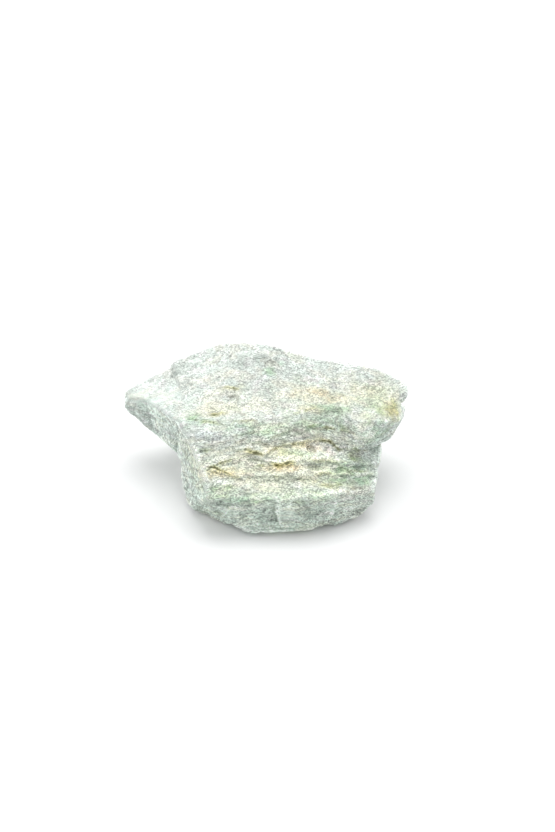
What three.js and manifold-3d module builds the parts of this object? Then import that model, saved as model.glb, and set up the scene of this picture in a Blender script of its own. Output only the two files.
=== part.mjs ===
// A hand-sized piece of raw fuchsite: one solid stone of green mica schist, as broken from the vein.
// Millimetres, +Z up. X runs from the thin left wing to the right lobe and Y from the front break to the
// back. The stone rests on its flat foot at Z = 0, and the origin is under the middle of its bounding box.
//
// The stone is the union of the blocks it broke into along its bedding. Each block is the convex hull of
// its corners on the skin and of the root that all the blocks share, deep inside, so every ledge, step and
// break is an edge that two corners name. Hollows are cut out of the joined blocks. The skin is then
// divided and roughened: worn edges, swells, and thin beds that stand proud or sit back.

import * as THREE from "three";
import { ConvexGeometry } from "three/addons/geometries/ConvexGeometry.js";
import { TessellateModifier } from "three/addons/modifiers/TessellateModifier.js";
import { ImprovedNoise } from "three/addons/math/ImprovedNoise.js";
import { mergeVertices } from "three/addons/utils/BufferGeometryUtils.js";
import Module from "manifold-3d";

const wasm = await Module();
wasm.setup();

// Corners of the blocks, [x, y, z] in millimetres before the stone is centred.

const root = [
  [-9, 5, 4], [12, 5, 4], [0, -8, 4],
];

const riser = { forward: 0.7, drop: 1.9 };   // the broken face that drops from the lip of a ledge

// A ledge: its lip, and the foot of the face below it.
function ledge(lip) {
  return [...lip, ...lip.map(([x, y, z]) => [x, y - riser.forward, z - riser.drop])];
}

const wingTip = [
  [-44.5, 17, 23], [-42, 17.5, 24], [-37.5, 20, 25.5], [-42.5, 14, 23.5], [-37, 11, 24.5],
  [-45, 16, 19], [-40.5, 14.5, 15], [-35.5, 10.5, 13], [-38, 20.5, 19],
];

const wing = [
  [-37, 11, 24.5], [-33, 6.5, 25], [-30, 2, 25.5], [-26, -2, 25.5], [-37.5, 20, 25.5],
  [-33.5, 21, 26.5], [-30.5, 22.5, 27.5], [-35.5, 10.5, 13], [-31, 6, 11.5], [-28, 3.5, 10],
  [-29, 21, 28.6], [-27, 12, 27.5], [-23, -3, 26], [-33, 22.5, 17], [-26, 21, 9],
];

const leftWall = [
  [-26, -2, 25.5], [-24, -6.5, 25], [-21, -12.5, 22], [-19.5, -17, 20], [-17.5, -20.5, 17.5],
  [-17, -24, 14], [-27, 3.5, 10], [-24.8, -1.5, 8], [-23.2, -8, 5.5], [-23.4, -12.8, 2],
  [-21.6, -14.2, 0.3], [-23, 8, 5],
];

const crown = [
  [-30, 23, 28], [-29, 23.5, 29.5], [-24, 24.5, 30.5], [-19.5, 26, 32], [-15, 27, 34.5],
  [-9, 25.5, 36], [-1, 24.5, 36], [5, 23.5, 35], [11, 22.5, 33], [14.5, 22, 31.8], [20, 21, 31.3],
  [-27.5, 12, 27.2], [-23, -4, 25.7], [-13, -7, 27.5], [-7.5, -6, 28.5], [-1, -5, 28.8],
  [8, -2, 29], [13.5, -1, 29], [20, 3, 29.3],
];

const back = [
  [-26, 23.5, 28.5], [-10, 25.3, 34.5], [2, 24.5, 33], [14, 22, 31], [27, 20.5, 29.5], [35, 18, 28],
  [-27, 24, 17], [-17, 28, 19], [-4, 29.5, 17], [12, 28, 17], [27, 24, 15], [36, 17, 20],
  [-19, 17, 4.5], [-3, 22, 4], [15, 19, 3], [25, 13, 5],
];

const backLedge = [
  [-19, 23, 13], [-7, 27.8, 13], [5, 28, 12], [14, 25, 11], [9, 23.5, 3.5], [-5, 24, 3.5],
  [-16, 19, 4.5],
];

const leftBand = [
  [-26, -2, 25.6], [-24, -6.5, 25], [-13, -7, 27.5], [-7.5, -6, 28.5], [0, -5, 28.8],
  [-20.5, -8.6, 25.9], [-15.5, -9.2, 26.3], [-9.5, -9.6, 26.2], [-21, -12.5, 22], [-13, -12.3, 22],
  [-6, -11.8, 22], [1.5, -9.5, 22.3],
];

const rightBand = [
  [-1, -5, 28.8], [8, -2, 29], [13.5, -1, 29], [17, 1.5, 29.2], [-2, -8.6, 26], [5, -6.6, 26.4],
  [11, -4.6, 26.3], [15.5, -3.6, 25.6], [1.5, -10.2, 22.3], [9.5, -6.6, 22.5], [14, -5.4, 22.3],
  [17.5, -5.4, 21.5],
];

const cleft = [
  [13.5, -1, 28.8], [17, 1.8, 29.2], [20, 2.8, 29.2], [23, 1, 28.4], [14, -5, 22.3],
  [17.5, -5, 21.5], [21.5, -7, 19.5], [26, -7, 19], [28, 10, 26],
];

const lobe = [
  [14.5, 22, 31.8], [26, 20.5, 31.5], [31.5, 19.5, 31], [37.5, 18, 29.8], [42, 16.2, 28.4],
  [44.2, 15, 27.2], [44.8, 13.5, 25.6], [43.8, 12, 24.2], [17, 3, 29], [24, 3, 29],
  [30, 7, 28.8], [38, 10, 27.3], [41.5, 17, 22],
];

const shelf = [
  [23, 1, 28.5], [26, -2.5, 27.5], [30.5, -3, 26.5], [37, -0.5, 24.5], [41, 4.5, 22.4],
  [43.5, 9.5, 22.6], [43, 8, 20.5], [40.5, 4.5, 18.5], [38.2, 1, 17.2], [33.4, -1.5, 16.8],
  [34, -3, 17], [26, -7, 19], [29, -5.3, 24.6], [32, -4.9, 22.5], [26, 12, 28.4], [31, 6.8, 28.7],
  [38.5, 9.6, 26.9], [41, 14, 20],
];

const rightFlank = [
  [38, 13, 21], [33.4, 5, 17], [31.8, -3, 14.3], [32.4, -6, 12.5], [33, -12, 10], [31.5, -14.5, 5],
  [29, -14, 2.5], [28, 4, 4], [25, 12, 3.5], [35, 17, 19], [25, 20, 12],
];

const leftUpperTerrace = [
  ...ledge([[-20.2, -14.6, 20.6], [-18.5, -15.9, 20], [-14, -15.2, 20.1], [-8.5, -14.4, 20.4]]),
  [-21, -12.5, 22], [-6.5, -11.6, 21.8],
];

const overhang = [
  ...ledge([[-7.5, -12, 22], [-4, -12.6, 21.7], [-0.5, -13.3, 21.1]]),
  [-6, -8, 22.8], [2.5, -10.2, 22.2],
];

const middleUpperTerrace = [
  ...ledge([[-2.5, -13.6, 20.4], [3, -14.8, 19.7], [6.5, -15, 19.4], [10, -14.4, 19.4]]),
  [12, -5, 22.2], [-6, -11, 21.6],
];

const rightUpperTerrace = [
  ...ledge([[9, -13.6, 19.7], [13.5, -13.3, 19.4], [18, -12.2, 18.7], [20.5, -11, 18.2]]),
  [10, -5, 22.2], [21.5, -4.5, 19.9],
];

const endUpperTerrace = [
  ...ledge([[19.5, -11.9, 18], [24.5, -11.5, 17.1], [29.5, -9.9, 15.5], [34, -7.4, 13.8]]),
  [21.5, -4.5, 19.9], [32.9, -2, 14.6],
];

const leftLowerTerrace = [
  ...ledge([[-18.8, -16.4, 19.2], [-16, -17, 18.8], [-10.5, -18.6, 18], [-7, -19.6, 17.4]]),
  [-20.3, -14, 19.6], [-6, -13, 19.8],
];

const middleLowerTerrace = [
  ...ledge([[-8, -17.8, 18.1], [-1, -18.7, 17.6], [4.5, -18.3, 17.7], [8, -17, 18]]),
  [11, -12, 19], [-7, -12, 20],
];

const rightLowerTerrace = [
  ...ledge([[7, -18, 17.3], [13.5, -17.2, 16.7], [19.5, -15.2, 16.2]]),
  [11, -12, 18.8], [20, -11, 17],
];

const endLowerTerrace = [
  ...ledge([[17.5, -15.8, 15.9], [24.5, -14.3, 14.9], [30.5, -12.6, 13.3], [34.5, -10.5, 12]]),
  [33.5, -5.5, 13], [20, -11, 17],
];

const footBlock = [
  [-17.3, -20.5, 17], [-17, -24, 14], [-13.5, -23.5, 14], [-6.5, -25, 14], [4.5, -24.7, 14],
  [10.5, -24.2, 14], [16, -24, 13.8], [21, -22, 13.3], [29, -17.5, 11], [32.8, -15.7, 9.8],
  [34.1, -12, 11.3], [32.3, -16.7, 6.4], [30.1, -17.5, 3.2], [26, -18.3, 0.8], [-19, -15.5, 18.2],
  [0, -16, 17], [20, -12, 15], [-21.2, -14.4, 0.4], [-15.5, -18, 0], [-7, -23.5, 0], [-4, -25, 0],
  [6, -25, 0], [11.5, -24.5, 0], [19, -21, 0], [22, -14, 0], [21, 2, 0], [12, 12, 0], [-3, 14, 0],
  [-15, 8, 0], [-18.5, -4, 0], [-23, 2, 3], [-18, 15, 3.5], [-3, 21, 3], [14, 18, 3], [27, 9, 3],
];

const scale = [
  [-12.8, -21.5, 9.5], [-8.5, -25.6, 9], [-7.5, -25.9, 5.5], [-9.5, -23.9, 3.2], [-12.5, -22, 4],
  [-13.6, -21, 7],
];

const slab = [
  [3.6, -25.1, 13.8], [2.8, -25.7, 8.6], [4.4, -25.4, 4], [12, -24.4, 13.8], [20, -22.4, 13.2],
  [19.5, -22, 6], [11, -24.9, 2.5],
];

const lowestBed = [
  [-16.3, -17.6, 1.6], [-7.5, -23.8, 2.2], [-4, -25.5, 2], [6, -25.5, 1.8], [12, -24.9, 2],
  [19.4, -21.4, 2.3], [24, -18.8, 2.4], [-15.8, -18, 0.4], [-7, -23.8, 0.3], [-4, -25.3, 0.3],
  [6, -25.3, 0.3], [11.8, -24.8, 0.3], [19.2, -21.2, 0.5],
];

const blocks = [
  wingTip, wing, leftWall, crown, back, backLedge, leftBand, rightBand, cleft, lobe, shelf,
  rightFlank, leftUpperTerrace, overhang, middleUpperTerrace, rightUpperTerrace, endUpperTerrace,
  leftLowerTerrace, middleLowerTerrace, rightLowerTerrace, endLowerTerrace, footBlock, scale, slab,
  lowestBed,
];

// Hollows, each cut out of the skin as the convex hull of its corners: the mouth's stand clear of the
// stone and the bottom's lie in it.

const darkHole = [
  [11.8, -10.8, 22.6], [16.4, -10.2, 22.4], [16.2, -7.4, 22.8], [12.2, -7.2, 23], [12.8, -9.9, 19],
  [15.2, -9.6, 18.8], [15, -7.8, 19.2], [13, -7.8, 19.4],
];

const greyScoop = [
  [-5.6, -15.4, 21.6], [-1.2, -16, 20.9], [-1.8, -16.6, 19.6], [-5, -16, 20.2], [-4.6, -12.6, 20.7],
  [-2.2, -13, 20.3],
];

const blueScoop = [
  [-16, 6.4, 33], [-6.4, 6, 33.4], [-5.8, 0.6, 33], [-15.6, 0.2, 32.6], [-13.8, 4.4, 29.8],
  [-8.6, 4.2, 30.2], [-8.4, 1.9, 29.8], [-13, 1.6, 29.4],
];

const hollows = [darkHole, greyScoop, blueScoop];

// Roughening of the skin.
const facetLength = 4.2;       // longest edge of a skin triangle
const tessellations = 12;      // enough halvings to bring the longest block edge under that
const wear = 0.22;             // share of the way each skin point moves to the middle of its neighbours
const footQuiet = 3;           // the roughening fades to nothing over this height above the flat foot
const lumps = [                // rounded swells; shift moves their noise along
  { size: 14, height: 0.7, shift: 7 },
  { size: 6.5, height: 0.5, shift: 7 },
];
const bed = { thickness: 3.2, run: 14, height: 0.5, shift: 3 };   // thin beds, seen where the skin cuts them
const fullness = 0.22;         // what wear takes off the form as a whole is given back

const weld = 1e-3;             // points closer than this are one

const perlin = new ImprovedNoise();

function solidOf(geometry) {
  geometry.deleteAttribute("normal");
  geometry.deleteAttribute("uv");
  const merged = mergeVertices(geometry, weld);
  return new wasm.Manifold(new wasm.Mesh({
    numProp: 3,
    vertProperties: merged.attributes.position.array,
    triVerts: new Uint32Array(merged.index.array),
  }));
}

function hull(corners) {
  return solidOf(new ConvexGeometry(corners.map((corner) => new THREE.Vector3(...corner))));
}

// The blocks joined and the hollows cut out of them, as one indexed geometry.
function brokenStone() {
  const joined = blocks.map((corners) => hull([...corners, ...root])).reduce((stone, block) => stone.add(block));
  const mesh = hollows.map(hull).reduce((stone, hollow) => stone.subtract(hollow), joined).getMesh();
  const geometry = new THREE.BufferGeometry();
  geometry.setAttribute("position", new THREE.BufferAttribute(mesh.vertProperties, 3));
  geometry.setIndex(new THREE.BufferAttribute(mesh.triVerts, 1));
  return geometry;
}

function finelyDivided(coarse) {
  const fine = new TessellateModifier(facetLength, tessellations).modify(coarse);
  return mergeVertices(fine, weld);
}

function pointsOf(geometry) {
  const position = geometry.attributes.position;
  return Array.from({ length: position.count }, (_, i) => new THREE.Vector3().fromBufferAttribute(position, i));
}

function setPoints(geometry, points) {
  points.forEach((point, i) => geometry.attributes.position.setXYZ(i, point.x, point.y, point.z));
}

const onFoot = (point) => point.z < weld;

// Worn edges: every point off the foot moves part of the way to the middle of its neighbours.
function worn(geometry) {
  const points = pointsOf(geometry);
  const neighbours = points.map(() => new Set());
  const index = geometry.index.array;
  for (let i = 0; i < index.length; i += 3) {
    const [a, b, c] = index.slice(i, i + 3);
    neighbours[a].add(b).add(c);
    neighbours[b].add(c).add(a);
    neighbours[c].add(a).add(b);
  }
  const moved = points.map((point, i) => {
    if (onFoot(point)) return point;
    const middle = new THREE.Vector3();
    neighbours[i].forEach((j) => middle.addScaledVector(points[j], 1 / neighbours[i].size));
    return point.clone().lerp(middle, wear);
  });
  setPoints(geometry, moved);
  return geometry;
}

// How far the skin stands proud at a point: swells, and the thin beds that its face cuts across.
function relief(point, normal) {
  const { x, y, z } = point;
  const swell = lumps.reduce((sum, { size, height, shift }) =>
    sum + height * perlin.noise(x / size, y / size, z / size + shift), 0);
  const acrossBeds = 1 - normal.z * normal.z;
  const bedded = bed.height * acrossBeds * perlin.noise(x / bed.run, y / bed.run + bed.shift, z / bed.thickness);
  return (fullness + swell + bedded) * THREE.MathUtils.smoothstep(z, 0, footQuiet);
}

function roughened(geometry) {
  geometry.computeVertexNormals();
  const normals = geometry.attributes.normal;
  const moved = pointsOf(geometry).map((point, i) => {
    const normal = new THREE.Vector3().fromBufferAttribute(normals, i);
    return point.clone().addScaledVector(normal, relief(point, normal));
  });
  setPoints(geometry, moved);
  return geometry;
}

// The origin goes under the middle of the box, and the foot stays at Z = 0.
function centred(geometry) {
  geometry.computeBoundingBox();
  const middle = geometry.boundingBox.getCenter(new THREE.Vector3());
  return geometry.translate(-middle.x, -middle.y, 0);
}

const stoneGeometry = centred(roughened(worn(finelyDivided(brokenStone()))));
stoneGeometry.computeVertexNormals();

const greenStone = new THREE.MeshStandardMaterial({ color: 0xb9c8b6, roughness: 0.75, metalness: 0 });
const stone = new THREE.Mesh(stoneGeometry, greenStone);
stone.name = "fuchsite_stone";

const specimen = new THREE.Group();
specimen.add(stone);

export default specimen;
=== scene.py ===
"""A hand-sized piece of raw fuchsite: pale green mica schist, rough as it broke, on a plain pale floor."""

from math import radians

import bmesh
import bpy
import numpy as np
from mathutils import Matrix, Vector, noise


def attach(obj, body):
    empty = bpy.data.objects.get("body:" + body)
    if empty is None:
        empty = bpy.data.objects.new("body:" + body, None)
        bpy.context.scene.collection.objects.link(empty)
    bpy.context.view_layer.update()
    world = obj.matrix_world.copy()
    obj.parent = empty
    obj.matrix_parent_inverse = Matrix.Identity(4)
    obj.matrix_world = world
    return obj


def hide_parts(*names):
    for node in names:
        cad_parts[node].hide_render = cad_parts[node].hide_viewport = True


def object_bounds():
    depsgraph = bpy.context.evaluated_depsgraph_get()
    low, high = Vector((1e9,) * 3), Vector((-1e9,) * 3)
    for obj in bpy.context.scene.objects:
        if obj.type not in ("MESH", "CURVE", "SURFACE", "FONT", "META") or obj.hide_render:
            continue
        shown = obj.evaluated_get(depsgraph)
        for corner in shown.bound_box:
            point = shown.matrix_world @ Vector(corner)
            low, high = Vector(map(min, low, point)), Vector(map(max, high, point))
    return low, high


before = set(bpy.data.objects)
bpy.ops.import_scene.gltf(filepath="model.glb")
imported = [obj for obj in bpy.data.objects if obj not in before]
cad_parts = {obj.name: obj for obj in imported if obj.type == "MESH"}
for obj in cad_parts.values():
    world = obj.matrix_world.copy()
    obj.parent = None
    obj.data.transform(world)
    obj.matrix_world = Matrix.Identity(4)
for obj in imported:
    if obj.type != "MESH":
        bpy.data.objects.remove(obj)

CAD_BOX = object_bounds()
MM = 0.001
STONE_NODE = "fuchsite_stone"

# The fine skin of the stone, in millimetres.
WELD = 0.001
SKIN_STEP = 0.388
SHARPENING = 0.9     # how far the main edges are brought out
FILLING = 0.6        # how far the main hollows are filled
BREAK_TOP = 13       # the fresh break in front reaches up to here
BED_THICKNESS = 1.25
FRONT_BEDS = -8      # in front of here the beds lie level
LEDGES_FROM = -3     # the ledges of broken beds lie in front of here
LEDGES_TOP = 22.5    # and below this height
PATH_REACH = 2.5     # a crack marks only the skin this near to its path
FOOT_RIM = 1.5       # the skin draws in below this height, to the part that stands on the floor

# Camera: it looks along +Y, from above.
CAMERA_RISE = radians(36)
CAMERA_DISTANCE = 520
CAMERA_AIM = (3.8, 14, 15)
LENS = 70.5


# ---------------------------------------------------------------- relief of the skin

def bed_height(points):
    """How high a point lies in the bedding, which arches from left to right and rises to the back."""
    x, y, z = points.T
    return z + 0.004 * x ** 2 - 0.3 * np.maximum(y, FRONT_BEDS)


def across_beds(points, normals):
    """How much the skin cuts across the beds: 0 along a bed, 1 square to it."""
    x, y, _ = points.T
    rise = np.column_stack((0.008 * x, np.where(y > FRONT_BEDS, -0.3, 0), np.ones(len(points))))
    rise /= np.linalg.norm(rise, axis=1)[:, None]
    return 1 - np.einsum("ij,ij->i", normals, rise) ** 2


def swirl(points, octaves=3, seed=0.0):
    """Fractal noise, from about -1 to 1, at each point."""
    shift = Vector((seed, seed, seed))
    return np.array([noise.fractal(Vector(point) + shift, 0.9, 2.0, octaves) for point in points])


def along_beds(points, run, thickness):
    """The points as seen by a noise that runs along the beds."""
    x, y, _ = points.T
    return np.column_stack((x / run, y / run, bed_height(points) / thickness))


def grains(points, size):
    """Rounded grains: 1 in the middle of each and 0 in the joints between them."""
    near = np.array([noise.voronoi(Vector(point) / size)[0][:2] for point in points])
    return np.clip((near[:, 1] - near[:, 0]) * 2.2, 0, 1)


def scoops(points):
    """Shallow scoops side by side, sharp where two meet: 0 in the middle of each, 1 on the ridges."""
    near = np.array([noise.voronoi(Vector(point))[0][0] for point in points])
    return np.clip(2.2 * near ** 2, 0, 1.2)


def chips(points, seed):
    """Flat chips: each stands at a height and a tilt of its own, from about -1 to 1."""
    heights = []
    for point in points:
        place = Vector(point) + Vector((seed, 0, 0))
        middle = noise.voronoi(place)[1][0]
        tilt = noise.cell_vector(middle * 31)
        heights.append(noise.cell(middle * 17) * 1.2 - 0.6 + (place - middle).dot(tilt) * 0.9)
    return np.array(heights)


def beds(points):
    """Thin beds, broken off one by one: how far they stand out, and the seams between them."""
    level = bed_height(points) / BED_THICKNESS
    level += 0.9 * swirl(points / 11, 2, 4.4)
    level += 0.18 * swirl(points / 2.4, 2, 8.1)
    bed = np.floor(level)
    rise = level - bed
    x, y, _ = points.T
    own = swirl(np.column_stack((x / 6, y / 6, bed * 7.3)), 2, 2.2)
    seam = np.clip(1 - np.minimum(rise, 1 - rise) / 0.14, 0, 1)
    return 0.5 - rise + 1.1 * own, seam


def beside(points, normals, path):
    """Distance along the skin to a path, the share of it passed, and the side: 1 at its left hand."""
    best = np.full(len(points), np.inf)
    share = np.zeros(len(points))
    side = np.ones(len(points))
    for step, (start, end) in enumerate(zip(path, path[1:])):
        start, run = np.array(start), np.subtract(end, start)
        along = np.clip((points - start) @ run / (run @ run), 0, 1)
        off = points - start - along[:, None] * run
        depth = np.einsum("ij,ij->i", off, normals)
        flat = np.linalg.norm(off - depth[:, None] * normals, axis=1)
        flat = np.where(np.abs(depth) < PATH_REACH, flat, np.inf)
        nearer = flat < best
        best = np.where(nearer, flat, best)
        share = np.where(nearer, (step + along) / (len(path) - 1), share)
        side = np.where(nearer, np.sign(np.einsum("ij,ij->i", np.cross(normals, run), off)), side)
    return best, share, side


# Open cracks under the lips of ledges: path over the skin, half width, depth, and height of the lip.
CRACKS = [
    ([(-19, -18.5, 20), (-17, -18.5, 19.5), (-15.5, -18, 19.5), (-13, -19.5, 19), (-9.5, -21, 18),
      (-7.5, -21.5, 18)],
     0.26, 0.5, 0.35),
    ([(-15.5, -18, 19.5), (-13.5, -17, 20), (-11, -16.5, 20.5), (-7.5, -15, 20.5)], 0.25, 0.35, 0.25),
    ([(-6.5, -13.5, 22.5), (-4, -14, 22), (-2, -14.5, 21.5), (0, -15, 21.5)], 0.4, 0.9, 0.4),
    ([(2, -16.5, 19.5), (4, -17, 19), (5.5, -17, 19.5), (7.5, -16.5, 20), (9.5, -16.5, 19.5)],
     0.3, 0.7, 0.35),
    ([(0, -15, 21.5), (1.5, -13.5, 21.5), (4, -11.5, 22), (6, -11, 22)], 0.22, 0.3, 0.3),
    ([(8, -10.5, 22), (11.5, -9.5, 22), (15, -8, 22.5)], 0.22, 0.3, 0.35),
    ([(15, -8, 22.5), (17.5, -7.5, 21.5), (20, -8, 21.5), (22.5, -9, 19), (24.5, -9, 19)], 0.28, 0.5, 0.3),
    ([(24.5, -9, 19.5), (27.5, -8, 18.5), (29.5, -6, 16.5), (32, -5, 16)], 0.25, 0.4, 0.2),
    ([(11.5, -15, 20), (15.5, -14.5, 19), (18, -14, 18.5), (21.5, -13, 17.5)], 0.2, 0.3, 0.3),
    ([(10.5, -19, 17.5), (17, -17.5, 16.3), (24, -15.5, 15)], 0.2, 0.2, 0.35),
    ([(26.5, -14, 14.7), (29, -13.5, 14), (31.5, -12.5, 13)], 0.25, 0.35, 0.4),
    ([(-20.5, -13.5, 22.5), (-18, -14, 22.5), (-12.5, -13.5, 22.5)], 0.2, 0.2, 0.3),
    ([(-4.5, -17.5, 19), (-1, -17, 19), (2, -18.5, 18.5)], 0.2, 0.25, 0.2),
    ([(1, -20.5, 17.5), (5.5, -20, 17)], 0.18, 0.2, 0.2),
    ([(-24, -2, 26.5), (-21.5, -4.5, 27), (-19, -6, 27.5), (-16, -6.5, 27.5), (-14, -8, 27.5),
      (-11, -8.5, 28)],
     0.22, 0.3, 0.35),
    ([(-11, -8.5, 28), (-9, -7.5, 28.5), (-6.5, -7.5, 29), (-4, -7.5, 29), (-2, -7.5, 28.5)],
     0.22, 0.3, 0.3),
    ([(-17.5, -3.7, 28), (-15.5, -3.5, 28.5), (-11, -3.4, 29)], 0.2, 0.3, 0.25),
    ([(-12.5, 6.8, 31.3), (-10.3, 5.9, 31.6), (-7.5, 4.7, 31.7)], 0.3, 0.8, 0.3),
    ([(7.5, -4, 29), (9.5, -4, 29), (11.5, -3, 29), (14, -2, 29), (16, -0.5, 29.5)], 0.22, 0.25, 0.3),
    ([(10.5, -7, 26), (15, -5.7, 25.5), (20, -5.5, 24.6), (24.5, -6.3, 24.1), (29, -7.6, 23.1)],
     0.35, 0.35, 0.3),
]

# Edges of the flakes that broke off: path, height of the edge, of the step up to its left, and brightness:
# a lighter line along the edge, partly wear and partly painted highlight.
EDGES = [
    ([(-12.5, -26.2, 8), (-11.1, -27, 11), (-9.3, -27.2, 11.7), (-7.2, -27.4, 11.4)], 0.3, -0.9, 1),
    ([(7.8, -26.3, 13.9), (7.5, -27.1, 11.8), (4.2, -27.2, 11.5), (3.6, -27.2, 9.2), (3.9, -27, 6.7),
      (4.8, -26.3, 3.4)],
     0.35, 0.9, 1),
    ([(21.4, -23.6, 12.9), (21.1, -24.1, 10), (20.3, -24.2, 7.3), (19.1, -24.4, 4.2)], 0.35, -0.7, 1),
    ([(-13, -25.5, 2.2), (-4.6, -27, 2.4), (7.6, -26.9, 2.2), (14.3, -25.6, 2.2)], 0.1, -0.3, 0.7),
    ([(-16.8, -25.8, 13.5), (-17.1, -22.5, 17.7), (-18.1, -18.9, 19.5), (-19.6, -16, 21.1),
      (-21.5, -12.1, 23.4), (-23.3, -8.9, 25.2)],
     0.15, 0, 0.9),
]

# Hollows, and lumps of a negative depth: middle, reach along X, Y and Z, and depth.
HOLLOWS = [
    ((13.7, -10, 20.8), (2, 1.6, 1.6), 0.45),
    ((-4, -15, 21), (2.2, 1.4, 1.4), 0.4),
    ((19, -9.4, 20), (1.6, 1.4, 1.4), 0.5),
    ((15, -16, 17.6), (3, 1.4, 1.4), 0.7),
    ((21.5, -15, 15.8), (3, 1.4, 1.4), 0.6),
    ((29, -12.5, 14.4), (3, 2, 1.6), 0.5),
    ((-11.5, 2.5, 30), (4, 3.5, 2.5), 0.5),
    ((1, -15.5, 20.8), (1.2, 1, 1), 0.5),
    ((-14.5, -26.5, 12), (3, 2, 2.5), 0.7),
    ((40.5, 8.5, 25.2), (3, 4, 2), -0.9),
    ((39, 8, 26.6), (4, 3, 1.6), -0.8),
    ((-30, 20, 29), (3.5, 4, 2), -0.9),
    ((29.6, -7.5, 22.6), (3, 2.2, 2), -0.5),
    ((-15, -10.5, 26), (4, 2, 2), -0.5),
    ((16, -6, 24.8), (5, 2, 1.6), 0.5),
    ((-33.3, 4.8, 20.1), (2, 2.6, 2.2), -0.5),
    ((-31.5, 2.2, 21.8), (1.6, 1.6, 2.2), 0.4),
    ((3, -8, 27), (3, 2, 1.5), 0.4),
]


def on_ledges(points):
    """1 on the broken ledges under the plate's edge in front, and 0 elsewhere."""
    _, y, z = points.T
    in_front = np.clip((LEDGES_FROM - y) / 4, 0, 1)
    return in_front * np.clip((LEDGES_TOP - z) / 1.5, 0, 1) * np.clip((z - BREAK_TOP) / 1.5, 0, 1)


def relief(points, normals):
    """Height of the skin in millimetres, its cracks, edges and seams, and its cut across the beds."""
    z = points[:, 2]
    quiet = np.clip(z / 1.5, 0, 1)
    weathered = np.clip((z - BREAK_TOP) / 1.5, 0, 1)
    ledges = on_ledges(points)
    across = across_beds(points, normals) * (1 - 0.5 * ledges)
    out, seam = beds(points)
    bent = points + 1.2 * np.column_stack([swirl(points / 4, 2, seed) for seed in (1.3, 4.9, 8.8)])
    raised = 0.16 + 0.2 * swirl(points / 6, 3, 3.1)
    raised += (0.09 + 0.18 * weathered * across) * out
    raised += (0.09 + 0.06 * weathered * across + 0.04 * ledges) * chips(along_beds(points, 5, 2.4), 3)
    raised += (0.06 + 0.06 * weathered * across + 0.04 * ledges) * chips(along_beds(bent, 2.4, 1.1), 11)
    raised += (1 - weathered) * (0.75 * scoops(bent / 7.5) + 0.4 * scoops(bent / 3) - 0.45)
    raised += 0.13 * swirl(points / 1.8, 3, 7.7)
    raised += (0.09 + 0.07 * across) * (grains(along_beds(points, 1.4, 0.8), 1.0) - 0.6)
    wander = swirl(points / 1.2, 3, 5.5)
    broken = np.clip(0.95 + 1.2 * swirl(points / 2.4, 2, 9.2), 0.2, 1)
    raised *= 1 - 0.7 * patched(points, WORN, 0)
    crack = np.zeros(len(points))
    for path, half_width, depth, lip in CRACKS:
        away, share, side = beside(points, normals, path)
        open_here = broken * (0.3 + 0.7 * np.sin(np.pi * np.clip(share, 0.02, 0.98)))
        width = half_width * open_here * (1 + 0.8 * wander)
        groove = np.clip(1.2 - np.abs(away + 0.5 * wander) / np.maximum(width, 0.08), 0, 1)
        nearness = np.clip(1.1 - np.abs(away + 0.4 * wander) / 1.2, 0, 1)
        darkness = nearness * (0.25 + 0.75 * open_here) * min(1, 0.45 + 0.8 * depth)
        crack = np.maximum(crack, darkness)
        raised -= depth * open_here * groove
        fall = np.where(side > 0, np.exp(-away / 1.6), -0.6 * np.exp(-away / 1.1))
        raised += 0.55 * lip * open_here * fall
    edge = np.zeros(len(points))
    # Each edge also lightens the colour along it: partly wear, partly painted highlight.
    for path, height, step, brightness in EDGES:
        away, _, side = beside(points, normals, path)
        near = broken * np.exp(-((away + 0.3 * wander) / 0.55) ** 2)
        edge = np.maximum(edge, brightness * near)
        raised += height * near + 0.5 * step * side * np.exp(-away / 2.5)
    for middle, reach, depth in HOLLOWS:
        away = np.linalg.norm((points - middle) / reach, axis=1) + 0.25 * wander
        raised -= depth * np.clip(1.4 - 1.4 * away, 0, 1)
    patchy = np.clip(0.4 + 1.5 * swirl(points / 5, 2, 6.6), 0, 1)
    seam = seam * weathered * np.clip(3 * across, 0, 1) * patchy
    return quiet * raised, crack, edge, seam, across


# ---------------------------------------------------------------- patches of mineral

# The rim of the fresh break: places along X, and its height there.
FRONT_RIM = [(-17, 13.2), (-7, 14), (3, 14), (10, 13.8), (21, 12.6), (27, 11.8), (33, 10.4)]

# Patches over the skin: middle, reach along X, Y and Z, and strength. First, where it is worn smooth.
WORN = [
    ((-15, -10, 25.5), (9, 4, 3.5), 1.0),
    ((-34, 10, 25), (16, 14, 3), 0.7),
    ((-14, -15, 22), (6, 3, 2), 0.6),
]

# Ochre stains.
STAIN = [
    ((39, 3, 25.3), (5, 4.5, 3.2), 1.3),
    ((36, 7, 27.6), (5, 4, 2), 0.5),
    ((-10.3, 6.2, 31.5), (3.5, 1.2, 1.5), 0.9),
    ((-14.5, -3.7, 28.5), (4, 1, 1), 0.8),
    ((-16.5, -6.6, 27.7), (6, 1, 1.2), 0.7),
    ((8, -10.5, 22), (8, 1, 1), 0.8),
    ((19, -7.5, 21.8), (6, 1, 1.2), 0.8),
    ((5.5, -17, 19.3), (5, 0.8, 0.8), 0.9),
    ((-13, -19.3, 19), (7, 1, 0.9), 0.8),
    ((-3.5, -14, 22), (4, 0.9, 0.9), 0.8),
    ((22, -20.5, 13.8), (10, 2.2, 1.6), 0.9),
    ((27, -10, 16), (5, 2, 2), 0.4),
    ((-3, 27, 25.5), (11, 4, 1.2), 0.7),
    ((22, 22, 13.5), (9, 5, 1.2), 0.6),
    ((37, 2, 14), (3, 6, 1.2), 0.5),
]

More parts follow.
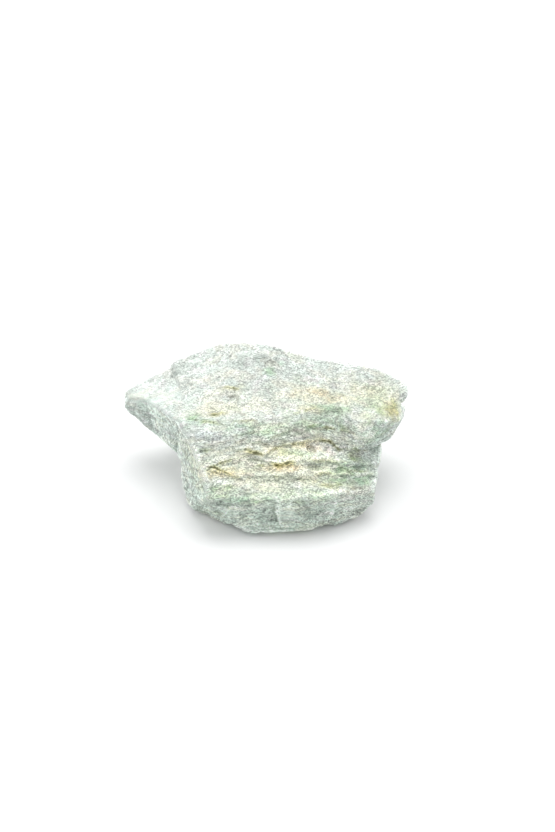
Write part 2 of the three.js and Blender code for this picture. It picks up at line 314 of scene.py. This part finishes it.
# Skin with a warm peach tinge.
PEACH = [
    ((39, 3, 25.3), (4, 3.5, 2.5), 0.6),
    ((15, 4, 31), (8, 2.2, 2), 1.0),
    ((22, 3.4, 29.6), (7, 2.2, 2), 0.8),
    ((13.5, -2, 29.2), (5, 1.3, 1.5), 0.9),
    ((14, -10, 21), (7, 2, 2), 0.9),
    ((4, -13, 21), (6, 1.6, 1.6), 0.6),
    ((6, -18, 18.6), (9, 1.6, 1.4), 1.0),
    ((-12.5, -20, 18.4), (8, 2, 1.4), 1.1),
    ((-16, -1, 28.5), (6, 3, 2), 0.35),
    ((-14, 12, 32), (6, 3, 2), 0.4),
]

# Skin with a cream tinge.
CREAM = [
    ((3, -17, 18), (32, 12, 8), 1.2),
    ((18, 2, 30), (20, 9, 5), 0.8),
    ((33, 6, 27.5), (12, 9, 4), 1.2),
    ((-8, 0, 29), (16, 8, 5), 0.5),
    ((6, -7, 25), (26, 5, 4), 0.7),
    ((2, 27, 9), (18, 8, 5), 0.9),
    ((-18, 25, 26), (9, 5, 5), 0.7),
]

# Skin with a cool mint tinge.
MINT = [
    ((-36, -2, 18), (22, 22, 11), 1.3),
    ((-20, -20, 10), (6, 12, 12), 1.0),
    ((0, -26, 6), (40, 5, 9), 1.0),
    ((0, 27, 14), (45, 9, 20), 1.0),
    ((38, 2, 12), (9, 24, 12), 0.8),
]

# Green mica.
GREEN = [
    ((-37, 7, 22), (8, 7, 3), 0.2),
    ((30, -17, 12.8), (6, 2, 1.6), 1.0),
    ((23, -18.6, 14), (9, 1.6, 1.2), 0.7),
    ((20, -1.5, 28.6), (7, 2.2, 1.8), 0.7),
    ((17, -5.5, 26), (13, 3.5, 2.6), 0.6),
    ((33, -4, 22), (8, 5, 4), 0.6),
    ((-19, -7, 27), (7, 2, 1.6), 0.6),
    ((-9, -8.6, 27.6), (11, 1.6, 1.6), 0.6),
    ((-1, -8.8, 26), (13, 3, 2.5), 0.6),
    ((33, 2, 26), (8, 5, 4), 0.4),
    ((-13, -24, 15), (6, 3, 2), 0.8),
    ((1.1, 11.6, 33.7), (2, 2, 1.6), 1.0),
    ((4.9, 15.5, 34.4), (1, 1, 1), 1.0),
    ((-23, -3.3, 26.8), (3.5, 2.5, 1.5), 0.9),
    ((-6, -26.5, 13.8), (12, 1.5, 1.3), 0.8),
    ((8, -13, 20.5), (9, 1.5, 1.2), 0.5),
    ((26, -14, 15.5), (9, 6, 3), 0.8),
    ((30, -15.4, 12.6), (5, 2, 1.2), 1.0),
    ((30, -10, 18), (4, 3, 2), 0.6),
    ((8, -25, 13.6), (30, 2.5, 1.4), 0.5),
    ((14, 24, 22), (15, 6, 2.6), 0.6),
    ((-12, 26, 13), (12, 6, 3), 0.5),
    ((33, 15, 16), (7, 8, 2.4), 0.5),
    ((-27, 18, 15), (6, 7, 3), 0.5),
    ((8, 20, 5), (13, 6, 2), 0.4),
]

# Painted shade: grey-lilac darkening in the pits, the hollows and under the overhang.
LILAC_SHADE = [
    ((-3.2, -15, 21.2), (2.2, 1, 0.9), 1.0),
    ((1.1, -15.5, 20.5), (1.6, 0.8, 0.8), 1.0),
    ((14.6, -9.8, 20), (2, 1.4, 1.4), 1.0),
    ((19.2, -9.6, 19.7), (2.4, 1.4, 1.4), 0.9),
    ((14.5, -15.6, 17.7), (3, 1.2, 1.2), 0.8),
    ((28.7, -12.2, 14.7), (2.6, 1.4, 1.4), 0.7),
    ((18.3, -5.7, 24.7), (5, 2, 1.2), 0.4),
    ((-16.5, -11, 25.4), (6, 3, 2), 0.5),
    ((-12.1, 2.7, 30.1), (2.4, 2, 1.6), 0.5),
    ((21.7, 9.2, 30.4), (3, 2, 2), 0.8),
    ((-17, -21.5, 16), (2, 3, 3), 0.5),
]

# Dusky skin, rich in mica.
DARK = [
    ((1.1, 11.6, 33.7), (1.8, 1.8, 1.4), 0.5),
    ((39, 3, 25.3), (4, 3.5, 2.5), 0.5),
    ((-4, 6, 32.4), (12, 6, 3), 0.55),
    ((18, 4.2, 30.7), (9, 3.5, 2.5), 0.65),
    ((33.5, 13.4, 30), (9, 6, 3), 0.65),
    ((-20.5, -18, 6), (4, 5, 4), 0.9),
    ((-4, 15.5, 35), (9, 5, 3), 0.9),
    ((20, -6, 24.5), (15, 3.5, 3.5), 0.35),
    ((20, -1, 28.8), (8, 1.4, 1.2), 0.6),
    ((-31.5, 2.4, 21.8), (2, 2, 2), 0.3),
    ((33, -1, 20), (11, 6, 4.5), 0.6),
    ((36, -1.5, 23.5), (7, 4, 3), 0.6),
    ((28, -12.5, 15), (8, 5, 3.5), 0.9),
    ((19, -15.5, 16.5), (7, 1.6, 1.4), 0.5),
    ((-22, -12, 14), (10, 14, 12), 0.4),
    ((-33, -4, 24), (14, 10, 5), 0.3),
    ((-26, 19, 30.4), (5, 2.5, 2), 0.6),
    ((-10, -26, 12), (9, 3, 2.4), 0.7),
    ((0.5, -27, 9.5), (3, 2, 4.5), 0.45),
    ((13, -26, 9), (6, 3, 4), 0.3),
    ((-14, -24, 6), (3, 3, 4), 0.5),
    ((26, -18, 12.9), (11, 3.5, 2.8), 1.6),
]

# Paler patches: painted light, lifting the tone in shaded places under the plate's edge in front, on the
# ledges, in the pit and on the walls.
PALE_PAINTED_LIGHT = [
    ((-14, -11.6, 25.4), (9, 3.5, 3.5), 0.8),
    ((1, -9.9, 25.8), (8, 3, 3.2), 0.95),
    ((17, -5.7, 24.7), (8, 2.5, 2), 0.75),
    ((-11, -15.6, 20.8), (6, 2.5, 1.8), 0.5),
    ((3, -15.6, 20.2), (9, 2.5, 2), 0.95),
    ((21, -11.2, 18.4), (11, 3.5, 2.5), 1.0),
    ((-38, 9, 22.5), (6, 5, 2), 0.9),
    ((-18.4, -22.4, 17.3), (2, 4, 3), 1.1),
    ((-1.5, -26.8, 7.7), (5, 2, 6), 0.4),
    ((27, -21.3, 7.2), (5, 3, 6), 0.45),
    ((-11.5, 2.6, 30.1), (4, 3, 2.5), 0.8),
]

# White quartz.
WHITE = [
    ((2, -26, 2), (16, 4, 2.5), 0.8),
    ((6.2, -27, 8.5), (3.5, 2, 4.5), 1.1),
    ((-10.6, -27, 9.3), (3.2, 2, 2.8), 1.0),
    ((20.4, -24.5, 8.8), (2, 2, 5), 1.0),
    ((-6, -26, 4), (6, 2, 2), 0.6),
    ((-33.3, 4.8, 20.1), (2.2, 2.6, 2.2), 0.7),
    ((-34, 10, 25), (15, 12, 4), 0.8),
    ((-4, -13, 21.5), (18, 3, 2), 0.5),
    ((15, -10, 20.5), (8, 2.5, 2), 0.4),
    ((-15, 16, 33), (13, 10, 5), 0.4),
    ((29.6, -7.5, 22.6), (3, 2, 1.6), 0.8),
]

MINERALS = {
    "stain": STAIN, "peach": PEACH, "cream": CREAM, "mint": MINT, "green": GREEN, "lilac": LILAC_SHADE,
    "dark": DARK, "pale": PALE_PAINTED_LIGHT, "white": WHITE,
}


def fresh_break(points, normals, ragged):
    """1 on the fresh face in front, under its uneven rim, and 0 elsewhere."""
    x, _, z = points.T
    rim = np.interp(x, *np.transpose(FRONT_RIM))
    return np.clip((rim - z + 0.5 * ragged) / 0.7, 0, 1) * np.clip(-2.5 * normals[:, 1] - 0.8, 0, 1)


def left_wall(normals):
    """1 on the walls that face left, where the grain hangs down, and 0 elsewhere."""
    return np.clip(-4 * normals[:, 0] - 1.6, 0, 1)


def patched(points, patches, ragged):
    """Strength of a mineral at each point: each patch fades out over its ragged reach."""
    total = np.zeros(len(points))
    for middle, reach, strength in patches:
        away = np.linalg.norm((points - middle) / reach, axis=1) + 0.45 * ragged
        total = np.maximum(total, strength * np.clip(1.3 - away, 0, 1))
    return total


def smoothed(points, edges, rounds):
    """Each point drawn halfway to the middle of its neighbours, round after round."""
    ends = np.concatenate((edges, edges[:, ::-1]))
    neighbours = np.bincount(ends[:, 0])
    for _ in range(rounds):
        drawn = [np.bincount(ends[:, 0], row[ends[:, 1]]) for row in points.T]
        points = 0.5 * points + 0.5 * np.column_stack(drawn) / neighbours[:, None]
    return points


def standing(points, normals, edges, rounds):
    """How far each point stands out of the skin smoothed around it."""
    return np.einsum("ij,ij->i", points - smoothed(points, edges, rounds), normals)


def store(mesh, name, values):
    layer = mesh.attributes.new(name, "FLOAT", "POINT")
    layer.data.foreach_set("value", values.astype(np.float32))


# ---------------------------------------------------------------- the stone

def welded_copy(node, name):
    """The solid's mesh with its loose triangles joined, in an object of its own."""
    solid = bmesh.new()
    solid.from_mesh(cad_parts[node].data)
    bmesh.ops.remove_doubles(solid, verts=solid.verts, dist=WELD * MM)
    mesh = bpy.data.meshes.new(name)
    solid.to_mesh(mesh)
    solid.free()
    piece = bpy.data.objects.new(name, mesh)
    bpy.context.scene.collection.objects.link(piece)
    return piece


def made_final(piece):
    """The piece's modifiers, worked into its mesh."""
    graph = bpy.context.evaluated_depsgraph_get()
    finished = bpy.data.meshes.new_from_object(piece.evaluated_get(graph))
    piece.modifiers.clear()
    piece.data = finished


def fine_skin(piece):
    """An even net of small quads over the whole skin."""
    net = piece.modifiers.new("net", "REMESH")
    net.mode = "VOXEL"
    net.voxel_size = SKIN_STEP * MM
    made_final(piece)


def vertex_values(mesh, name):
    values = np.empty(len(mesh.vertices) * 3, np.float32)
    mesh.vertices.foreach_get(name, values)
    return values.reshape(-1, 3).astype(float)


def make_stone():
    stone = welded_copy(STONE_NODE, "rough_stone")
    fine_skin(stone)
    mesh = stone.data
    points = vertex_values(mesh, "co") / MM
    normals = vertex_values(mesh, "normal")
    pairs = np.empty(len(mesh.edges) * 2, np.int32)
    mesh.edges.foreach_get("vertices", pairs)
    pairs = pairs.reshape(-1, 2)
    rising = np.clip(points[:, 2] / FOOT_RIM, 0, 1)
    corner = np.clip(standing(points, normals, pairs, 80), -0.7, 0.7)
    form = SHARPENING * np.maximum(corner, 0) + FILLING * np.maximum(-corner, 0)
    height, crack, edge, seam, across = relief(points, normals)
    calm = 1 - 0.7 * np.clip(corner / 0.5, 0, 1)
    moved = points + normals * (rising * form + calm * height)[:, None]
    proud = standing(moved, normals, pairs, 20)
    moved += normals * (0.4 * rising * calm * proud)[:, None]
    moved[:, :2] *= 1 - 0.14 * np.clip(1 - points[:, 2:] / FOOT_RIM, 0, 1)
    low, high = (np.array(corner) / MM for corner in CAD_BOX)
    moved = np.clip(moved, low, high)
    mesh.vertices.foreach_set("co", (moved * MM).ravel())
    mesh.update()
    ragged = swirl(along_beds(points, 3.5, 1.2), 3, 1.7)
    store(mesh, "crack", crack)
    store(mesh, "edge", edge)
    store(mesh, "seam", seam)
    store(mesh, "across", across)
    store(mesh, "ledge", on_ledges(points))
    # proud and crest also go into the colour: painted highlight on ridges and painted shade in hollows and
    # creases.
    store(mesh, "proud", proud)
    store(mesh, "crest", standing(moved, normals, pairs, 3))
    store(mesh, "fresh", fresh_break(points, normals, ragged))
    for name, patches in MINERALS.items():
        store(mesh, name, patched(points, patches, ragged))
    store(mesh, "wall", left_wall(normals))
    mesh.polygons.foreach_set("use_smooth", [True] * len(mesh.polygons))
    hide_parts(STONE_NODE)
    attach(stone, "root")
    return stone


# ---------------------------------------------------------------- materials

class Field:
    """A value over the surface. Arithmetic on it adds Math nodes to its shader."""

    def __init__(self, shader, socket):
        self.shader, self.socket = shader, socket

    def __add__(self, other):
        return self.shader.maths("ADD", self, other)

    def __sub__(self, other):
        return self.shader.maths("SUBTRACT", self, other)

    def __rsub__(self, other):
        return self.shader.maths("SUBTRACT", other, self)

    def __mul__(self, other):
        return self.shader.maths("MULTIPLY", self, other)

    def clamped(self):
        return self.shader.maths("ADD", self, 0, use_clamp=True)

    __radd__ = __add__
    __rmul__ = __mul__


class Shader:
    """A node material, built up from fields."""

    def __init__(self, name):
        self.material = bpy.data.materials.new(name)
        self.material.use_nodes = True
        self.tree = self.material.node_tree
        self.tree.nodes.clear()

    def node(self, kind, settings, sockets):
        """A node with its settings made first, then its sockets filled or linked."""
        made = self.tree.nodes.new("ShaderNode" + kind)
        for name, value in settings.items():
            if name == "stops":
                self.set_stops(made.color_ramp, value)
            else:
                setattr(made, name, value)
        for name, value in sockets.items():
            source = value.socket if isinstance(value, Field) else value
            if isinstance(source, bpy.types.NodeSocket):
                self.tree.links.new(source, made.inputs[name])
            else:
                made.inputs[name].default_value = source
        return made

    def set_stops(self, ramp, stops):
        while len(ramp.elements) < len(stops):
            ramp.elements.new(1)
        for element, (position, colour) in zip(ramp.elements, stops):
            element.position = position
            element.color = (*colour, 1)

    def maths(self, operation, *values, use_clamp=False):
        settings = {"operation": operation, "use_clamp": use_clamp}
        return Field(self, self.node("Math", settings, dict(enumerate(values))).outputs[0])

    def attribute(self, name):
        return Field(self, self.node("Attribute", {"attribute_name": name}, {}).outputs["Fac"])

    def place(self):
        """The point's place in millimetres."""
        place = self.node("TexCoord", {}, {}).outputs["Object"]
        return self.node("Mapping", {}, {"Vector": place, "Scale": (1 / MM,) * 3}).outputs[0]

    def vector(self, x, y, z):
        return self.node("CombineXYZ", {}, {"X": x, "Y": y, "Z": z}).outputs[0]

    def shaken(self, where, shake, amount):
        """A place moved by a random vector."""
        settings = {"operation": "MULTIPLY_ADD"}
        return self.node("VectorMath", settings, {0: shake, 1: amount, 2: where}).outputs[0]

    def noise(self, where, scale, detail=2.0, roughness=0.5):
        sockets = {"Vector": where, "Scale": scale, "Detail": detail, "Roughness": roughness}
        return Field(self, self.node("TexNoise", {}, sockets).outputs[0])

    def cells(self, where, scale):
        """Three random values for each cell of a Voronoi net."""
        colour = self.node("TexVoronoi", {}, {"Vector": where, "Scale": scale}).outputs["Color"]
        return [Field(self, value) for value in self.node("SeparateColor", {}, {"Color": colour}).outputs]

    def near(self, value, level, width):
        """1 where a value is at a level, falling to 0 a width away from it."""
        apart = self.maths("ABSOLUTE", value - level)
        return self.maths("MULTIPLY_ADD", apart, -1 / width, 1, use_clamp=True)

    def over(self, value, low, high):
        """0 where a value is under the low level, rising to 1 at the high one."""
        return self.maths("MULTIPLY_ADD", value, 1 / (high - low), -low / (high - low), use_clamp=True)

    def mixed(self, factor, first, second, blend="MIX"):
        settings = {"data_type": "RGBA", "blend_type": blend, "clamp_factor": True}
        return self.node("Mix", settings, {0: factor, 6: first, 7: second}).outputs[2]

    def ramp(self, value, stops):
        return self.node("ValToRGB", {"stops": stops}, {"Fac": value}).outputs[0]


def schist():
    """Sugary quartz and green mica in beds, with ochre stains and dark cracks."""
    s = Shader("fuchsite")
    place = s.place()
    x, y, z = (Field(s, socket) for socket in s.node("SeparateXYZ", {}, {"Vector": place}).outputs)
    bed = z + 0.004 * (x * x) - 0.3 * s.maths("MAXIMUM", y, FRONT_BEDS)
    jitter = s.node("TexNoise", {}, {"Vector": place, "Scale": 0.9, "Detail": 2.0}).outputs["Color"]
    flat = s.vector(0.65 * x, y, bed * 2.2)
    beds = s.shaken(flat, jitter, (1.5, 1.5, 0.7))
    sheets = s.vector(0.65 * x, y, bed * 5)
    level = s.vector(0.55 * x, y, 1.2 * z)
    steep = s.vector(x, 0.9 * y - 0.75 * z, 0.2 * y + 0.25 * z)
    grainwise = s.mixed(s.attribute("wall").clamped(), level, steep)
    lines = s.vector(0.3 * x, y, bed * 3)
    layers = s.shaken(flat, jitter, (1.5, 1.5, 1.5))

    clumps, _, _ = s.cells(beds, 0.9)
    small, _, glint = s.cells(beds, 1.9)
    sugar, _, _ = s.cells(grainwise, 4.2)
    streaks = s.noise(lines, 1.1, 3.0, 0.7)
    layer_tone, layer_hue, _ = s.cells(layers, 0.28)
    clouds = s.noise(place, 0.16, 3.0)
    mottle = s.noise(beds, 0.33, 4.0, 0.7)
    mica = s.noise(beds, 1.1, 3.0, 0.9)
    laminae = s.noise(sheets, 0.18, 4.0, 0.7)
    wisps = s.near(s.noise(beds, 0.55, 3.0, 0.6), 0.5, 0.035)
    wiggle = s.noise(flat, 1.3, 2.0, 0.8)

    cut = s.attribute("across").clamped()
    white = s.attribute("white").clamped()
    fresh = s.attribute("fresh").clamped()
    rough = (0.42 + 0.6 * s.over(mottle, 0.35, 0.65) + 0.55 * cut + 0.45 * s.attribute("ledge")
             + 0.35 * fresh) * (1 - 0.8 * white)
    grain = (0.1 * (clumps - 0.5) + 0.15 * (small - 0.5) + 2.1 * (sugar - 0.5) + 0.5 * (mica - 0.5)
             + 0.5 * (streaks - 0.5))
    tone = (0.78 + (0.08 + 0.1 * cut) * (layer_tone - 0.5) + 0.35 * (0.5 - mottle)
            + (0.2 + 0.5 * cut) * (laminae - 0.5) + 0.3 * (clouds - 0.5) - 0.12 * wisps
            # proud and crest: painted highlight on what stands out, painted shade in hollows and creases;
            # edge: a lighter line along the flakes' edges, partly wear and partly painted highlight.
            + 0.2 * s.attribute("proud") + 0.7 * s.attribute("crest") + 0.25 * s.attribute("edge")
            # The pale value here is painted light: it lifts the tone in shaded places.
            + 0.1 * white + 0.03 * s.attribute("cream") + 0.16 * s.attribute("pale")
            # fresh: the fresh face in front a little darker, partly its own colour and partly painted
            # shade.
            - 0.18 * s.attribute("dark") - 0.1 * s.attribute("seam") - 0.05 * fresh)
    colour = s.ramp(tone, [
        (0.0, (0.22, 0.25, 0.22)),
        (0.5, (0.45, 0.49, 0.45)),
        (0.75, (0.70, 0.745, 0.70)),
        (1.0, (0.96, 1.0, 0.96)),
    ])
    hue = 0.8 * s.noise(flat, 0.22, 1.0, 0.5) + 0.2 * layer_hue
    tint = s.ramp(hue, [
        (0.3, (1.04, 0.985, 1.01)),
        (0.42, (0.96, 1.0, 0.975)),
        (0.5, (0.99, 1.0, 0.985)),
        (0.6, (1.035, 0.995, 0.955)),
        (0.72, (0.985, 1.0, 0.92)),
    ])
    colour = s.mixed(1.0, colour, tint, "MULTIPLY")
    sparkle = s.maths("MINIMUM", s.maths("MAXIMUM", 1 + 0.8 * grain * rough, 0.55), 1.3)
    colour = s.mixed(1.0, colour, s.vector(sparkle, sparkle, sparkle), "MULTIPLY")
    clots = s.over(s.noise(flat, 0.45, 1.0, 0.5), 0.36, 0.62)
    colour = s.mixed(s.attribute("cream").clamped(), colour, (1.01, 0.99, 0.87, 1), "MULTIPLY")
    colour = s.mixed(s.attribute("mint").clamped(), colour, (0.955, 1.0, 0.985, 1), "MULTIPLY")
    colour = s.mixed(fresh, colour, (0.975, 1.0, 0.965, 1), "MULTIPLY")
    green = (1.4 * s.attribute("green") * (0.3 + 0.7 * clots)).clamped()
    colour = s.mixed(green, colour, (0.70, 0.86, 0.72, 1), "MULTIPLY")
    # Painted shade: the colour darkened grey-lilac in the pits, the hollows and under the overhang.
    lilac = (1.3 * s.attribute("lilac") * (0.3 + 0.7 * clots)).clamped()
    colour = s.mixed(lilac, colour, (0.74, 0.74, 0.83, 1), "MULTIPLY")
    peach = (s.attribute("peach") * (0.55 + 0.45 * clots)).clamped()
    colour = s.mixed(peach, colour, (1.10, 0.96, 0.83, 1), "MULTIPLY")
    stain = (s.attribute("stain") * (0.3 + 0.7 * clots)).clamped()
    colour = s.mixed(stain, colour, (0.89, 0.865, 0.64, 1), "MULTIPLY")
    crack = s.attribute("crack") + 0.5 * (wiggle - 0.5)
    halo = s.over(crack, 0.3, 0.85)
    colour = s.mixed(halo, colour, (0.82, 0.82, 0.58, 1), "MULTIPLY")
    line = s.over(crack, 0.64, 0.86)
    colour = s.mixed(line, colour, (0.20, 0.20, 0.10, 1))

    height = 0.4 * small + 0.3 * clumps + 0.7 * sugar + 0.8 * mica
    bump = s.node("Bump", {}, {"Height": height, "Strength": 0.7, "Distance": 0.25 * MM}).outputs[0]
    surface = s.node("BsdfPrincipled", {}, {
        "Base Color": colour,
        "Roughness": 0.85 - 0.45 * (glint * glint),
        "Specular IOR Level": 0.4,
        "Normal": bump,
    })
    s.node("OutputMaterial", {}, {"Surface": surface.outputs[0]})
    return s.material


def plain_floor():
    s = Shader("pale_floor")
    surface = s.node("BsdfDiffuse", {}, {"Color": (0.86, 0.86, 0.86, 1)})
    s.node("OutputMaterial", {}, {"Surface": surface.outputs[0]})
    return s.material


# ---------------------------------------------------------------- floor, light and camera

def make_floor():
    sheet = bmesh.new()
    bmesh.ops.create_grid(sheet, x_segments=1, y_segments=1, size=3)
    mesh = bpy.data.meshes.new("floor")
    sheet.to_mesh(mesh)
    sheet.free()
    floor = bpy.data.objects.new("floor", mesh)
    bpy.context.scene.collection.objects.link(floor)
    mesh.materials.append(plain_floor())


def softbox(name, place, size, power, aim=(0, 0, 0.015)):
    light = bpy.data.lights.new(name, "AREA")
    light.shape = "DISK"
    light.size = size
    light.energy = power
    lamp = bpy.data.objects.new(name, light)
    lamp.location = place
    lamp.rotation_euler = (Vector(aim) - Vector(place)).to_track_quat("-Z", "Y").to_euler()
    bpy.context.scene.collection.objects.link(lamp)


def light_room():
    world = bpy.data.worlds.new("room")
    world.use_nodes = True
    world.node_tree.nodes["Background"].inputs["Color"].default_value = (0.975, 0.985, 1.0, 1)
    world.node_tree.nodes["Background"].inputs["Strength"].default_value = 0.68
    bpy.context.scene.world = world
    softbox("overhead", (0.2, 0.62, 2.0), 1.7, 28.0)
    softbox("left_fill", (-2.0, 0.5, 0.9), 1.6, 19.0)
    softbox("right_fill", (2.0, 0.6, 0.9), 1.6, 8.0)
    bpy.context.scene.view_settings.view_transform = "Standard"


def make_camera():
    lens = bpy.data.cameras.new("camera")
    lens.lens = LENS
    camera = bpy.data.objects.new("camera", lens)
    aim = Vector(CAMERA_AIM) * MM
    back = Vector((0, -np.cos(CAMERA_RISE), np.sin(CAMERA_RISE)))
    camera.location = aim + back * CAMERA_DISTANCE * MM
    camera.rotation_euler = (-back).to_track_quat("-Z", "Y").to_euler()
    lens.clip_start = 0.01
    bpy.context.scene.collection.objects.link(camera)
    bpy.context.scene.camera = camera


make_camera()
light_room()
make_floor()
make_stone().data.materials.append(schist())
